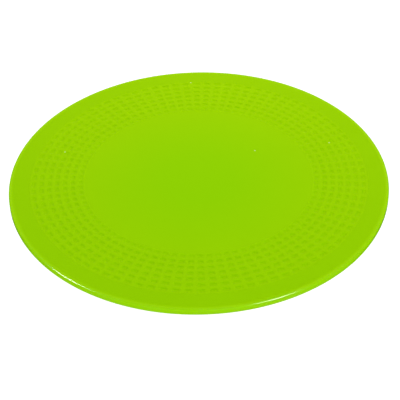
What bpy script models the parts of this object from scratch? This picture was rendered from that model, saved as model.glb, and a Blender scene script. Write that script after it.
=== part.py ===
"""Flat-topped flying disc for lawn games.

Two mouldings make the disc. The flight plate is the flat, stiff core: a smooth
centre inside a raised bead, a grip band of shallow rectangular pockets in
straight spokes, and a thin tongue round its edge. The rim is moulded round that
tongue: a flush outer annulus, a thin nose, an undercut running in to a narrow
foot that the disc rests on, and an inner wall for the fingers.

Frame: Z up, origin on the resting surface under the centre of the disc.
"""

import math

import bmesh
import bpy

MM = 0.001

# overall
R_OUT = 127.0 * MM          # outer radius of the nose
TOP_Z = 10.0 * MM           # flat top above the resting surface
GAP = 0.3 * MM              # moulding gap between the plate and the rim

# flight plate
PLATE_T = 1.8 * MM          # plate thickness
SEAM_R = 0.8905 * R_OUT     # where the plate's top meets the rim's top
TONGUE_R = 118.0 * MM       # the tongue runs on under the rim's top lip
TONGUE_DROP = 1.0 * MM      # the tongue's upper face below the plate's top

# raised bead round the smooth centre
BEAD_R = 0.6058 * R_OUT
BEAD_HALF_W = 0.55 * MM
BEAD_H = 0.15 * MM

# grip band: rows of pockets, all rows lined up in spokes
SPOKES = 90
SPOKE_PHASE = math.radians(2.117)   # a pocket's middle, from +X towards +Y
ROWS = 7
ROW_FIRST_R = 0.6242 * R_OUT
ROW_PITCH = 0.04103 * R_OUT
POCKET_HALF_ANGLE = math.radians(0.335 * 4.0)
POCKET_HALF_R = 0.29 * ROW_PITCH
POCKET_DEPTH = 0.65 * MM
FIRST_ROW_DEPTH = 0.47 * MM          # the innermost row fades into the smooth centre
FLOOR_SHARE = 0.62                  # floor size as a share of the mouth

# rim section
RIM_SEG = 120
NOSE_FACE = 4.3 * MM        # upright part of the nose, edges included
CORNER_R = 1.1 * MM         # top corner
CHIN_R = 0.45 * MM          # lower corner
FOOT_OUT_R = 117.5 * MM
FOOT_IN_R = 114.7 * MM
FOOT_EDGE = 0.35 * MM
INNER_TOP_R = 113.0 * MM    # inner wall where it meets the plate's underside
INNER_LOW_R = 114.35 * MM

# colours, linear
LIME_PLATE = (0.300, 0.617, 0.002, 1.0)
LIME_RIM = (0.310, 0.640, 0.002, 1.0)


def clear_scene():
    for ob in list(bpy.data.objects):
        bpy.data.objects.remove(ob, do_unlink=True)


def moulded(name, colour, roughness):
    mat = bpy.data.materials.new(name)
    mat.use_nodes = True
    bsdf = mat.node_tree.nodes["Principled BSDF"]
    bsdf.inputs["Base Color"].default_value = colour
    bsdf.inputs["Roughness"].default_value = roughness
    bsdf.inputs["Metallic"].default_value = 0.0
    return mat


def add_object(name, bm, mat):
    bmesh.ops.recalc_face_normals(bm, faces=bm.faces)
    if bm.calc_volume(signed=True) < 0:
        bmesh.ops.reverse_faces(bm, faces=bm.faces)
    mesh = bpy.data.meshes.new(name)
    bm.to_mesh(mesh)
    bm.free()
    mesh.shade_smooth()
    mesh.set_sharp_from_angle(angle=math.radians(25.0))
    mesh.materials.append(mat)
    ob = bpy.data.objects.new(name, mesh)
    bpy.context.scene.collection.objects.link(ob)
    return ob


def ring(bm, radius, z, angles):
    return [bm.verts.new((radius * math.cos(a), radius * math.sin(a), z)) for a in angles]


def bridge(bm, a, b):
    """Quads between two rings with the same number of points."""
    n = len(a)
    for i in range(n):
        bm.faces.new((a[i], a[(i + 1) % n], b[(i + 1) % n], b[i]))


def bridge_fine(bm, coarse, fine):
    """A ring with one point at each spoke's middle, to a ring with two points a spoke."""
    n = len(coarse)
    for i in range(n):
        j = (i + 1) % n
        # fine[2i], fine[2i+1] stand either side of coarse[i]
        bm.faces.new((coarse[i], fine[2 * i + 1], fine[2 * i]))
        bm.faces.new((coarse[i], coarse[j], fine[2 * j], fine[2 * i + 1]))


def flight_plate():
    bm = bmesh.new()
    step = 2.0 * math.pi / SPOKES
    mids = [SPOKE_PHASE + i * step for i in range(SPOKES)]
    pairs = []
    for a in mids:
        pairs += [a - POCKET_HALF_ANGLE, a + POCKET_HALF_ANGLE]

    # smooth centre and bead
    bead_in = ring(bm, BEAD_R - BEAD_HALF_W, TOP_Z, mids)
    bead_top = ring(bm, BEAD_R, TOP_Z + BEAD_H, mids)
    bead_out = ring(bm, BEAD_R + BEAD_HALF_W, TOP_Z, mids)
    bm.faces.new(bead_in)
    bridge(bm, bead_in, bead_top)
    bridge(bm, bead_top, bead_out)

    # grip band
    previous = None
    for k in range(ROWS):
        r_mid = ROW_FIRST_R + k * ROW_PITCH
        r_in, r_out = r_mid - POCKET_HALF_R, r_mid + POCKET_HALF_R
        depth = FIRST_ROW_DEPTH if k == 0 else POCKET_DEPTH
        low = ring(bm, r_in, TOP_Z, pairs)
        high = ring(bm, r_out, TOP_Z, pairs)
        if previous is None:
            bridge_fine(bm, bead_out, low)
        else:
            bridge(bm, previous, low)
        for i in range(SPOKES):
            a, b = 2 * i, 2 * i + 1
            c = (2 * i + 2) % (2 * SPOKES)
            # the rib between this pocket and the next
            bm.faces.new((low[b], low[c], high[c], high[b]))
            # the pocket: four sloped sides and a flat floor
            floor = []
            for dr, da in ((-1, -1), (-1, 1), (1, 1), (1, -1)):
                r = r_mid + dr * POCKET_HALF_R * FLOOR_SHARE
                t = mids[i] + da * POCKET_HALF_ANGLE * FLOOR_SHARE
                floor.append(bm.verts.new((r * math.cos(t), r * math.sin(t), TOP_Z - depth)))
            mouth = (low[a], low[b], high[b], high[a])
            for m in range(4):
                n = (m + 1) % 4
                bm.faces.new((mouth[m], mouth[n], floor[n], floor[m]))
            bm.faces.new(floor)
        previous = high

    # plain margin, edge, tongue and underside
    edge = ring(bm, SEAM_R, TOP_Z, mids)
    bridge_fine(bm, edge, previous)
    edge_low = ring(bm, SEAM_R, TOP_Z - TONGUE_DROP, mids)
    tongue_top = ring(bm, TONGUE_R, TOP_Z - TONGUE_DROP, mids)
    tongue_low = ring(bm, TONGUE_R, TOP_Z - PLATE_T, mids)
    bridge(bm, edge, edge_low)
    bridge(bm, edge_low, tongue_top)
    bridge(bm, tongue_top, tongue_low)
    bm.faces.new(tongue_low)
    return add_object("flight_plate", bm, moulded("plate_lime", LIME_PLATE, 0.42))


def rim_section():
    """Closed outline of the rim in (radius, height), from the top's inner edge outwards."""
    pts = [(SEAM_R + GAP, TOP_Z)]
    for i in range(5):
        a = math.radians(90.0 - 22.5 * i)
        pts.append((R_OUT - CORNER_R + CORNER_R * math.cos(a), TOP_Z - CORNER_R + CORNER_R * math.sin(a)))
    chin_z = TOP_Z - NOSE_FACE
    pts.append((R_OUT, chin_z + CHIN_R))
    pts.append((R_OUT - 0.3 * CHIN_R, chin_z + 0.3 * CHIN_R))
    pts.append((R_OUT - CHIN_R, chin_z))
    pts += [
        (FOOT_OUT_R + 2.0 * FOOT_EDGE, 0.7 * FOOT_EDGE),
        (FOOT_OUT_R, 0.0),
        (FOOT_IN_R, 0.0),
        (INNER_LOW_R, FOOT_EDGE),
        (INNER_TOP_R, TOP_Z - PLATE_T - GAP),
        (TONGUE_R + GAP, TOP_Z - PLATE_T - GAP),
        (TONGUE_R + GAP, TOP_Z - TONGUE_DROP + GAP),
        (SEAM_R + GAP, TOP_Z - TONGUE_DROP + GAP),
    ]
    return pts


def rim():
    bm = bmesh.new()
    angles = [2.0 * math.pi * i / RIM_SEG for i in range(RIM_SEG)]
    rings = [ring(bm, r, z, angles) for r, z in rim_section()]
    for i in range(len(rings)):
        bridge(bm, rings[i], rings[(i + 1) % len(rings)])
    return add_object("rim", bm, moulded("rim_lime", LIME_RIM, 0.30))


def main():
    clear_scene()
    flight_plate()
    rim()


main()
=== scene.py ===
import math

import bmesh
import bpy
import numpy as np
from mathutils import Matrix, Quaternion, Vector
from mathutils.geometry import delaunay_2d_cdt

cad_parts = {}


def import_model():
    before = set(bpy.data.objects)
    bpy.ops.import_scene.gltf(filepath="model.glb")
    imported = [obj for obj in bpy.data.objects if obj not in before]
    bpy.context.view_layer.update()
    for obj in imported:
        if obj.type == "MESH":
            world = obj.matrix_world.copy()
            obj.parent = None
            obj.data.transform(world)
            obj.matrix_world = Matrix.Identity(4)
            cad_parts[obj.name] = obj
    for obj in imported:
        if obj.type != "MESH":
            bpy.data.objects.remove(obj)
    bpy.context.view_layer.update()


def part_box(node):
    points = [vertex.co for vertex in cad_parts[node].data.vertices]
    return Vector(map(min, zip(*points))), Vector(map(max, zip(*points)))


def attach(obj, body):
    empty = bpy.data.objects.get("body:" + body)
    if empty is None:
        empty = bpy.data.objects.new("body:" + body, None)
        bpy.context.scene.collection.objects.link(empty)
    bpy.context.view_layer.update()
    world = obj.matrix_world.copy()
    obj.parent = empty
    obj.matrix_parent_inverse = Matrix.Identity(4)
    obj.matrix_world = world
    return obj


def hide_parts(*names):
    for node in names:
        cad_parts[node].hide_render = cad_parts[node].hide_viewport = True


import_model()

MM = 0.001
TAU = 2.0 * math.pi

# ---------------------------------------------------------------- sizes, from the frame
plate_lo, plate_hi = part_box("flight_plate")
rim_lo, rim_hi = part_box("rim")
R = (rim_hi.x - rim_lo.x) / 2.0          # outer radius of the nose
TOP = rim_hi.z                           # flat top
UNDER = plate_lo.z                       # the plate's underside
SEAM = 0.8905 * R
TONGUE_R = (plate_hi.x - plate_lo.x) / 2.0 + 0.02 * MM
TONGUE_TOP = TOP - 1.0 * MM

# grip band
SPOKES = 90
PHASE = math.radians(2.117)
STEP = TAU / SPOKES
ROWS = 7
ROW0 = 0.6242 * R
PITCH = 0.04103 * R
BEAD_R = 0.6058 * R
BEAD_H = 0.15 * MM
POCKET_DEPTH = 0.62 * MM
FIRST_ROW_DEPTH = 0.44 * MM             # the innermost row fades into the smooth centre

rng = np.random.default_rng(11)


# ---------------------------------------------------------------- mesh helpers
def smooth01(x):
    x = np.clip(x, 0.0, 1.0)
    return x * x * (3.0 - 2.0 * x)


def smoother01(x):
    x = np.clip(x, 0.0, 1.0)
    return x * x * x * (x * (6.0 * x - 15.0) + 10.0)


def new_object(name, verts, faces, material, smooth_angle=40.0):
    mesh = bpy.data.meshes.new(name)
    mesh.from_pydata([tuple(map(float, v)) for v in verts], [], faces)
    mesh.update()
    bm = bmesh.new()
    bm.from_mesh(mesh)
    bmesh.ops.recalc_face_normals(bm, faces=bm.faces)
    if bm.calc_volume(signed=True) < 0:
        bmesh.ops.reverse_faces(bm, faces=bm.faces)
    bm.to_mesh(mesh)
    bm.free()
    mesh.shade_smooth()
    mesh.set_sharp_from_angle(angle=math.radians(smooth_angle))
    mesh.materials.append(material)
    ob = bpy.data.objects.new(name, mesh)
    bpy.context.scene.collection.objects.link(ob)
    return ob


class Shell:
    """Rings of points about the Z axis, bridged into one closed skin."""

    def __init__(self):
        self.verts = []
        self.faces = []

    def ring(self, radii, zs, angles):
        first = len(self.verts)
        n = len(angles)
        radii = np.broadcast_to(radii, (n,))
        zs = np.broadcast_to(zs, (n,))
        self.verts += list(zip(radii * np.cos(angles), radii * np.sin(angles), zs))
        return list(range(first, first + n))

    def bridge(self, a, b):
        n = len(a)
        self.faces += [(a[i], a[(i + 1) % n], b[(i + 1) % n], b[i]) for i in range(n)]

    def step(self, coarse, fine):
        """Bridge a ring to one with a whole number of points for each of its own."""
        n, k = len(coarse), len(fine) // len(coarse)
        for i in range(n):
            j = (i + 1) % n
            run = [fine[(i * k + m) % len(fine)] for m in range(k + 1)]
            self.faces.append(tuple([coarse[j], coarse[i]] + run))

    def fan(self, ring, z):
        c = len(self.verts)
        self.verts.append((0.0, 0.0, z))
        n = len(ring)
        self.faces += [(ring[i], ring[(i + 1) % n], c) for i in range(n)]


# ---------------------------------------------------------------- materials
def nodes_of(mat):
    mat.use_nodes = True
    nt = mat.node_tree
    nt.nodes.clear()
    out = nt.nodes.new("ShaderNodeOutputMaterial")
    bsdf = nt.nodes.new("ShaderNodeBsdfPrincipled")
    nt.links.new(bsdf.outputs["BSDF"], out.inputs["Surface"])
    return nt, bsdf


def noise(nt, coords, scale, detail=3.0, rough=0.5):
    n = nt.nodes.new("ShaderNodeTexNoise")
    n.inputs["Scale"].default_value = scale
    n.inputs["Detail"].default_value = detail
    n.inputs["Roughness"].default_value = rough
    nt.links.new(coords, n.inputs["Vector"])
    return n.outputs["Fac"]


def remap(nt, value, a, b, c, d):
    m = nt.nodes.new("ShaderNodeMapRange")
    m.inputs["From Min"].default_value = a
    m.inputs["From Max"].default_value = b
    m.inputs["To Min"].default_value = c
    m.inputs["To Max"].default_value = d
    nt.links.new(value, m.inputs["Value"])
    return m.outputs["Result"]


def mix(nt, fac, a, b):
    m = nt.nodes.new("ShaderNodeMix")
    m.data_type = "RGBA"
    for sock, v in (("A", a), ("B", b)):
        s = [i for i in m.inputs if i.name == sock and i.type == "RGBA"][0]
        if isinstance(v, tuple):
            s.default_value = v
        else:
            nt.links.new(v, s)
    f = [i for i in m.inputs if i.name == "Factor" and i.type == "VALUE"][0]
    nt.links.new(fac, f)
    return [o for o in m.outputs if o.type == "RGBA"][0]


def add(nt, a, b, ka=1.0, kb=1.0):
    outs = []
    for v, k in ((a, ka), (b, kb)):
        m = nt.nodes.new("ShaderNodeMath")
        m.operation = "MULTIPLY"
        m.inputs[1].default_value = k
        nt.links.new(v, m.inputs[0])
        outs.append(m.outputs[0])
    s = nt.nodes.new("ShaderNodeMath")
    s.operation = "ADD"
    nt.links.new(outs[0], s.inputs[0])
    nt.links.new(outs[1], s.inputs[1])
    return s.outputs[0]


def specks(nt, coords, colour):
    """A few stray specks of pale dust on the top, under a millimetre across."""
    v = nt.nodes.new("ShaderNodeTexVoronoi")
    v.voronoi_dimensions = "2D"
    v.inputs["Scale"].default_value = 22.0
    nt.links.new(coords, v.inputs["Vector"])
    pick = nt.nodes.new("ShaderNodeSeparateColor")
    nt.links.new(v.outputs["Color"], pick.inputs["Color"])
    both = nt.nodes.new("ShaderNodeMath")
    both.operation = "MULTIPLY"
    nt.links.new(remap(nt, v.outputs["Distance"], 0.0110, 0.0070, 0.0, 0.8), both.inputs[0])
    nt.links.new(remap(nt, pick.outputs["Red"], 0.74, 0.76, 0.0, 1.0), both.inputs[1])
    return mix(nt, both.outputs[0], colour, (0.62, 0.82, 0.50, 1))


def lime(name, base, deep, rough, rough_spread, grain, spec, tint, middle=None, bead_painted_highlight=None, edge_painted_highlight=None, face=None, chin_painted_shade=None):
    """Moulded lime polymer: even colour with faint flow mottling, a fine satin grain and slight gloss changes.
    middle is the greener colour round the gate, which the flow carries outwards. The colours of the bead, the top
    edge, the nose below it and the chin are painted light: the bead and the top edge are lighter as painted
    highlights, the nose is lighter as painted light, and the chin is duller as painted shade. The flat top is less
    glossy than the edge."""
    mat = bpy.data.materials.new(name)
    nt, bsdf = nodes_of(mat)
    tc = nt.nodes.new("ShaderNodeTexCoord")
    obj = tc.outputs["Object"]
    broad = noise(nt, obj, 14.0, 2.0, 0.5)       # flow marks, several centimetres across
    mid = noise(nt, obj, 90.0, 4.0, 0.55)        # mottling, about a centimetre
    fine = noise(nt, obj, 1700.0, 2.0, 0.6)      # satin grain, about half a millimetre
    dust = noise(nt, obj, 620.0, 1.0, 0.5)
    tone = add(nt, broad, mid, 0.6, 0.4)
    bsdf_colour = mix(nt, remap(nt, tone, 0.32, 0.68, 0.0, 1.0), deep, base)
    sep = nt.nodes.new("ShaderNodeSeparateXYZ")
    nt.links.new(obj, sep.inputs["Vector"])
    if middle:
        far = nt.nodes.new("ShaderNodeVectorMath")
        far.operation = "LENGTH"
        nt.links.new(obj, far.inputs[0])
        bsdf_colour = mix(nt, remap(nt, far.outputs["Value"], 0.20 * R, 0.70 * R, 1.0, 0.0), bsdf_colour, middle)
    # painted highlight: the bead is made lighter where it stands above the flat top
    if bead_painted_highlight:
        bsdf_colour = mix(nt, remap(nt, sep.outputs["Z"], TOP + 0.02 * MM, TOP + 0.11 * MM, 0.0, 1.0), bsdf_colour, bead_painted_highlight)
    # by height: painted highlight on the top edge, painted light on the nose below it, painted shade on the chin
    if edge_painted_highlight:
        gloss = remap(nt, sep.outputs["Z"], TOP - 0.06 * MM, TOP - 0.22 * MM, 0.0, 1.0)
        drop = remap(nt, sep.outputs["Z"], TOP - 0.01 * MM, TOP - 0.15 * MM, 0.0, 1.0)
        bsdf_colour = mix(nt, drop, bsdf_colour, edge_painted_highlight)
        bsdf_colour = mix(nt, remap(nt, sep.outputs["Z"], TOP - 0.80 * MM, TOP - 1.90 * MM, 0.0, 1.0), bsdf_colour, face)
        chin = remap(nt, sep.outputs["Z"], TOP - 3.30 * MM, TOP - 4.10 * MM, 0.0, 1.0)
        bsdf_colour = mix(nt, chin, bsdf_colour, chin_painted_shade)
    bsdf_colour = specks(nt, obj, bsdf_colour)
    nt.links.new(bsdf_colour, bsdf.inputs["Base Color"])
    r1 = remap(nt, mid, 0.3, 0.7, rough - rough_spread, rough + rough_spread)
    r2 = remap(nt, dust, 0.55, 0.75, 0.0, rough_spread)
    total = add(nt, r1, r2)
    if edge_painted_highlight:
        total = add(nt, total, remap(nt, gloss, 0.0, 1.0, 0.16, 0.0))
    nt.links.new(total, bsdf.inputs["Roughness"])
    bump = nt.nodes.new("ShaderNodeBump")
    bump.inputs["Strength"].default_value = grain
    bump.inputs["Distance"].default_value = 0.03 * MM
    nt.links.new(add(nt, fine, mid, 0.7, 0.3), bump.inputs["Height"])
    nt.links.new(bump.outputs["Normal"], bsdf.inputs["Normal"])
    bsdf.inputs["Specular IOR Level"].default_value = spec
    if edge_painted_highlight:
        nt.links.new(remap(nt, gloss, 0.0, 1.0, 0.024 * spec, spec), bsdf.inputs["Specular IOR Level"])
    if edge_painted_highlight:
        nt.links.new(mix(nt, gloss, tint, (1.0, 1.0, 1.0, 1)), bsdf.inputs["Specular Tint"])
    else:
        bsdf.inputs["Specular Tint"].default_value = tint
    bsdf.inputs["IOR"].default_value = 1.49
    return mat


# the plate's lighter bead colour is a painted highlight
PLATE_MAT = lime("lime_plate_satin", (0.270, 0.602, 0.0, 1), (0.260, 0.589, 0.0, 1), 0.36, 0.04, 0.30, 0.010, (1.0, 1.0, 0.04, 1),
                 middle=(0.230, 0.592, 0.0, 1), bead_painted_highlight=(0.296, 0.650, 0.0, 1))
# the rim's lighter top edge and nose colours are painted light, its duller chin colour is painted shade
RIM_MAT = lime("lime_rim_gloss", (0.254, 0.583, 0.0, 1), (0.245, 0.571, 0.0, 1), 0.12, 0.02, 0.04, 0.50, (1.0, 1.0, 0.04, 1),
               edge_painted_highlight=(0.304, 0.680, 0.0, 1), face=(0.278, 0.615, 0.0, 1), chin_painted_shade=(0.288, 0.556, 0.0, 1))


# ---------------------------------------------------------------- flight plate
def plate_skin():
    s = Shell()
    coarse_n = SPOKES
    # samples across one spoke: close together on the pockets' walls
    cell = np.array([-0.5, -0.38, -0.34, -0.29, -0.24, -0.19, 0.0, 0.19, 0.24, 0.29, 0.34, 0.38])
    k = len(cell)
    fine_a = (PHASE + STEP * (np.arange(SPOKES)[:, None] + cell[None, :])).ravel()
    coarse_a = PHASE + STEP * (np.arange(SPOKES) - 0.5)
    u = np.tile(cell, SPOKES)            # share of the spoke's width from its middle
    across = 1.0 - smooth01((np.abs(u) - 0.19) / (0.38 - 0.19))

    # smooth centre: fan, then rings
    centre = [s.ring(r, TOP, coarse_a) for r in np.array([0.06, 0.16, 0.28, 0.40, 0.50, 0.575, 0.598]) * R]
    s.fan(centre[0], TOP)
    for a, b in zip(centre, centre[1:]):
        s.bridge(a, b)

    radii, heights = [], []
    # bead
    for t in (-1.5, -1.0, -0.75, -0.5, -0.25, 0.0, 0.25, 0.5, 0.75, 1.0):
        radii.append(BEAD_R + t * 0.27 * MM)
        heights.append(np.full_like(u, TOP + BEAD_H * (0.5 + 0.5 * math.cos(math.pi * min(1.0, abs(t))))))
    # pockets, row by row
    rows = (-0.5, -0.33, -0.285, -0.225, -0.165, -0.115, 0.115, 0.165, 0.225, 0.285, 0.33)
    for row in range(ROWS):
        mid = ROW0 + row * PITCH
        for v in rows[1:] if row == 0 else rows:
            along = 1.0 - smooth01((abs(v) - 0.115) / (0.33 - 0.115))
            radii.append(mid + v * PITCH)
            heights.append(TOP - (FIRST_ROW_DEPTH if row == 0 else POCKET_DEPTH) * across * along)
    fine = [s.ring(r, h, fine_a) for r, h in zip(radii, heights)]
    s.step(centre[-1], fine[0])
    for a, b in zip(fine, fine[1:]):
        s.bridge(a, b)

    # margin, rounded edge, seam wall
    edge = []
    er = 0.05 * MM
    seam_out = SEAM + 0.142 * MM
    for i in range(4):
        a = math.radians(90.0 - 30.0 * i)
        edge.append((seam_out - er + er * math.cos(a), TOP - er + er * math.sin(a)))
    margin = s.ring(seam_out - 0.5 * MM, TOP, coarse_a)
    # fine to coarse: one coarse point for each spoke
    n = len(fine[-1])
    for i in range(SPOKES):
        j = (i + 1) % SPOKES
        run = [fine[-1][(i * k + m) % n] for m in range(k + 1)]
        s.faces.append(tuple([margin[j], margin[i]] + run))
    finer_a = PHASE + STEP * (np.arange(SPOKES * 8) / 8.0 - 0.5)
    rings = [s.ring(r, z, finer_a) for r, z in edge]
    s.step(margin, rings[0])
    rings.append(s.ring(seam_out, TONGUE_TOP + 0.02 * MM, finer_a))
    rings.append(s.ring(TONGUE_R - 0.3 * MM, TONGUE_TOP, finer_a))
    rings.append(s.ring(TONGUE_R, TONGUE_TOP - 0.2 * MM, finer_a))
    rings.append(s.ring(TONGUE_R, UNDER + 0.2 * MM, finer_a))
    rings.append(s.ring(TONGUE_R - 0.2 * MM, UNDER, finer_a))
    for a, b in zip(rings, rings[1:]):
        s.bridge(a, b)
    rim_ring = rings[-1]

    # underside: a flat face with moulding marks, cut round its circles
    outline = [(s.verts[i][0], s.verts[i][1]) for i in rim_ring]
    pts = list(outline)
    loops = [list(range(len(outline)))]
    circles = []

    def circle(cx, cy, r, n):
        start = len(pts)
        for i in range(n):
            a = TAU * i / n
            pts.append((cx + r * math.cos(a), cy + r * math.sin(a)))
        loops.append(list(range(start, start + n)))
        circles.append((cx, cy, r, loops[-1]))

    circle(0.0, 0.0, 6.0 * MM, 48)                       # gate
    for i in range(6):                                   # ejector pins near the band
        a = math.radians(30.0 + 60.0 * i)
        circle(96.0 * MM * math.cos(a), 96.0 * MM * math.sin(a), 3.0 * MM, 32)
    for i in range(3):                                   # and nearer the middle
        a = math.radians(60.0 + 120.0 * i)
        circle(38.0 * MM * math.cos(a), 38.0 * MM * math.sin(a), 3.0 * MM, 32)
    edges = [(l[i], l[(i + 1) % len(l)]) for l in loops for i in range(len(l))]
    out_v, out_e, out_f, ov, oe, of = delaunay_2d_cdt([Vector(p) for p in pts], edges, [], 0, 1e-7)
    # map the new points back to the skin's points
    index = {}
    for new, olds in enumerate(ov):
        old = olds[0] if olds else None
        if old is not None and old < len(rim_ring):
            index[new] = rim_ring[old]
        else:
            index[new] = len(s.verts)
            s.verts.append((out_v[new].x, out_v[new].y, UNDER))
    back = {}
    for new, olds in enumerate(ov):
        for o in olds:
            back[o] = index[new]

    def inside(f):
        cx = sum(out_v[i].x for i in f) / len(f)
        cy = sum(out_v[i].y for i in f) / len(f)
        return any((cx - x) ** 2 + (cy - y) ** 2 < (r * 0.995) ** 2 for x, y, r, _ in circles)

    for f in out_f:
        if not inside(f) and math.hypot(sum(out_v[i].x for i in f) / 3, sum(out_v[i].y for i in f) / 3) < TONGUE_R:
            s.faces.append(tuple(index[i] for i in f))
    for n_c, (cx, cy, r, loop) in enumerate(circles):
        prev = [back[i] for i in loop]
        m = len(prev)
        ang = TAU * np.arange(m) / m
        if n_c == 0:                 # sunken gate well with a sheared nub
            prof = [(-0.1, 0.02), (-0.25, 0.10), (-0.35, 0.25), (-0.6, 0.30), (-3.6, 0.30), (-3.9, 0.26), (-4.05, 0.12), (-4.2, 0.04), (-4.6, -0.02)]
        else:                        # shallow round pin mark
            prof = [(-0.06, 0.01), (-0.14, 0.05), (-0.2, 0.09), (-0.3, 0.10), (-1.5, 0.10)]
        for dr, dz in prof:
            start = len(s.verts)
            rr = r + dr * MM
            for a in ang:
                s.verts.append((cx + rr * math.cos(a), cy + rr * math.sin(a), UNDER + dz * MM))
            cur = list(range(start, start + m))
            s.bridge(prev, cur)
            prev = cur
        c = len(s.verts)
        s.verts.append((cx, cy, UNDER + prof[-1][1] * MM))
        s.faces += [(prev[i], prev[(i + 1) % m], c) for i in range(m)]
    return new_object("plate_skin", s.verts, s.faces, PLATE_MAT, 50.0)


# ---------------------------------------------------------------- rim
def arc(cr, cz, r, a0, a1, n):
    return [(cr + r * math.cos(math.radians(a0 + (a1 - a0) * i / n)), cz + r * math.sin(math.radians(a0 + (a1 - a0) * i / n))) for i in range(n + 1)]


def rim_profile():
    """(radius, height) round the section, from the top's inner edge outwards, in metres."""
    p = []
    inner = SEAM + 0.158 * MM
    er = 0.05 * MM
    p += [(inner, TONGUE_TOP + 0.30 * MM), (inner, TOP - er)]
    p += arc(inner + er, TOP - er, er, 180.0, 90.0, 4)[1:]
    for t in np.linspace(0.05, 1.0, 12):
        r = inner + er + t * (0.968 * R - inner - er)
        p.append((r, TOP))
    # slight fall towards the edge, then the tight corner, a straight nose and a gently bowed slope down to the foot
    nose_low = TOP - 4.3 * MM
    fall = 0.16 * MM
    r0, r1 = 0.968 * R, R - 1.12 * MM
    for t in np.linspace(0.125, 1.0, 8):
        p.append((r0 + t * (r1 - r0), TOP - fall * t * t))
    slope = math.degrees(math.atan(2.0 * fall / (r1 - r0)))
    cr = 1.12 * MM
    cz = TOP - fall - cr
    p += arc(r1 - 0.0, cz, cr, 90.0 - slope, 4.0, 14)[1:]
    z_up, z_low = cz + cr * math.sin(math.radians(4.0)), nose_low + 0.55 * MM
    for t in np.linspace(0.1, 1.0, 8):
        z = z_up + t * (z_low - z_up)
        p.append((r1 + cr * math.cos(math.radians(4.0)) + 0.0 * t, z))
    rc = p[-1][0]
    p += arc(rc - 0.55 * MM, z_low, 0.55 * MM, 0.0, -55.0, 7)[1:]
    last = p[-1]
    foot_out, foot_in = 117.5 * MM, 114.7 * MM
    knee = (foot_out + 0.8 * MM, 0.42 * MM)
    for t in np.linspace(0.12, 1.0, 9):
        bow = 0.12 * MM * math.sin(math.pi * t)
        p.append((last[0] + t * (knee[0] - last[0]), last[1] + t * (knee[1] - last[1]) + bow))
    p += [(foot_out + 0.5 * MM, 0.22 * MM), (foot_out + 0.25 * MM, 0.08 * MM), (foot_out, 0.02 * MM), (foot_out - 0.25 * MM, 0.0)]
    p += [(foot_in + 0.2 * MM, 0.0), (foot_in - 0.0 * MM, 0.03 * MM), (foot_in - 0.2 * MM, 0.14 * MM), (114.36 * MM, 0.36 * MM)]
    top_in = (113.05 * MM, UNDER - 0.10 * MM)
    for t in np.linspace(0.12, 0.88, 8):
        p.append((114.36 * MM + t * (top_in[0] - 114.36 * MM), 0.36 * MM + t * (top_in[1] - 0.36 * MM)))
    p += [top_in]
    p += [(113.35 * MM, UNDER - 0.10 * MM), (TONGUE_R + 0.20 * MM, UNDER - 0.10 * MM), (TONGUE_R + 0.20 * MM, TONGUE_TOP + 0.20 * MM)]
    p += [(inner + 0.05 * MM, TONGUE_TOP + 0.20 * MM)]
    return p


def rim_skin():
    s = Shell()
    n = 1080
    a = TAU * np.arange(n) / n
    rings = [s.ring(r, z, a) for r, z in rim_profile()]
    for i in range(len(rings)):
        s.bridge(rings[i], rings[(i + 1) % len(rings)])
    return new_object("rim_skin", s.verts, s.faces, RIM_MAT, 35.0)


plate = plate_skin()
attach(plate, "root")
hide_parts("flight_plate")
rim = rim_skin()
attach(rim, "root")
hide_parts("rim")


# ---------------------------------------------------------------- floor
def floor():
    bm = bmesh.new()
    n, half = 48, 3.0
    grid = [[bm.verts.new(((i / n * 2 - 1) * half, (j / n * 2 - 1) * half, -0.0002)) for i in range(n + 1)] for j in range(n + 1)]
    for j in range(n):
        for i in range(n):
            bm.faces.new((grid[j][i], grid[j][i + 1], grid[j + 1][i + 1], grid[j + 1][i]))
    mesh = bpy.data.meshes.new("floor")
    bm.to_mesh(mesh)
    bm.free()
    mat = bpy.data.materials.new("pale_floor")
    nt, bsdf = nodes_of(mat)
    tc = nt.nodes.new("ShaderNodeTexCoord")
    n1 = noise(nt, tc.outputs["Object"], 6.0, 3.0)
    nt.links.new(mix(nt, n1, (0.245, 0.245, 0.245, 1), (0.26, 0.26, 0.259, 1)), bsdf.inputs["Base Color"])
    bsdf.inputs["Roughness"].default_value = 0.9
    bsdf.inputs["Specular IOR Level"].default_value = 0.1
    bsdf.inputs["Emission Color"].default_value = (1.0, 1.0, 1.0, 1)
    bsdf.inputs["Emission Strength"].default_value = 1.02
    mesh.materials.append(mat)
    ob = bpy.data.objects.new("floor", mesh)
    bpy.context.scene.collection.objects.link(ob)
    ob.visible_glossy = False
    return ob


floor()


# ---------------------------------------------------------------- camera
FOCAL_PX = 1307.0            # focal length in pixels of a 400 pixel picture
ELEV = math.radians(38.486)
ROLL = math.radians(1.182)
DIST = 6.910 * R            # from the middle of the flat top
AIM = (-1.40, 22.60)         # where the middle of the top lies from the picture's middle, right and up


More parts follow.
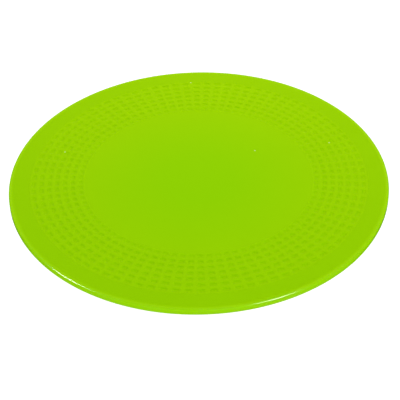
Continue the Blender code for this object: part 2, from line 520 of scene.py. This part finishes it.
def camera():
    data = bpy.data.cameras.new("camera")
    data.sensor_fit = "HORIZONTAL"
    data.sensor_width = 36.0
    data.lens = FOCAL_PX / 400.0 * 36.0
    data.clip_start = 0.01
    data.clip_end = 20.0
    cam = bpy.data.objects.new("camera", data)
    bpy.context.scene.collection.objects.link(cam)
    bpy.context.scene.camera = cam
    fwd = Vector((0.0, math.cos(ELEV), -math.sin(ELEV)))
    right = Vector((1.0, 0.0, 0.0))
    up = Vector((0.0, math.sin(ELEV), math.cos(ELEV)))
    c, s = math.cos(ROLL), math.sin(ROLL)
    x = right * c - up * s
    y = right * s + up * c
    basis = Matrix((x, y, -fwd)).transposed().to_quaternion()
    aim = Vector((AIM[0], AIM[1], -FOCAL_PX)).normalized()
    turn = aim.rotation_difference(Vector((0.0, 0.0, -1.0)))
    cam.rotation_mode = "QUATERNION"
    cam.rotation_quaternion = basis @ turn
    cam.location = Vector((0.0, 0.0, TOP)) - fwd * DIST
    return cam


cam = camera()


# ---------------------------------------------------------------- light
def area(name, at, to, w, h, power, colour=(1.0, 1.0, 1.0), card=False):
    data = bpy.data.lights.new(name, "AREA")
    data.shape = "RECTANGLE"
    data.size, data.size_y = w, h
    data.energy = power
    data.color = colour
    ob = bpy.data.objects.new(name, data)
    bpy.context.scene.collection.objects.link(ob)
    ob.location = at
    ob.rotation_mode = "QUATERNION"
    ob.rotation_quaternion = (Vector(to) - Vector(at)).to_track_quat("-Z", "Y")
    ob.visible_diffuse = not card          # a card is only there to be mirrored, a fill only to light
    ob.visible_glossy = card
    return ob


def world():
    """An even white dome that lights the disc softly; what the gloss shows is the cards alone."""
    w = bpy.data.worlds.new("studio")
    bpy.context.scene.world = w
    w.use_nodes = True
    bg = w.node_tree.nodes["Background"]
    bg.inputs["Color"].default_value = (1.0, 1.0, 1.0, 1)
    bg.inputs["Strength"].default_value = DOME
    w.cycles_visibility.glossy = False


DOME = 0.89


def towards(azimuth, elevation, distance):
    """A place round the disc: azimuth from +X towards +Y, in degrees."""
    az, el = math.radians(azimuth), math.radians(elevation)
    return (distance * math.cos(el) * math.cos(az), distance * math.cos(el) * math.sin(az), distance * math.sin(el))


world()
area("left_card", towards(-173.2, 40.0, 1.8), (0, 0, 0), 0.40, 0.62, 32.0, card=True)
area("right_card", towards(-45.0, 45.0, 1.8), (0, 0, 0), 0.46, 0.60, 26.0, card=True)
area("front_soft", (0.35, -1.15, 1.3), (0.0, 0.0, 0.0), 0.9, 0.6, 1.9)
area("right_soft", towards(-42.0, 14.0, 1.5), (0.0, 0.0, 0.0), 0.5, 0.3, 1.1)
area("back_soft", (0.05, 0.32, 0.36), (0.0, 0.05, 0.0), 0.34, 0.22, 0.9, (1.0, 0.5, 0.0))

scene = bpy.context.scene
scene.view_settings.view_transform = "Standard"
scene.view_settings.look = "None"
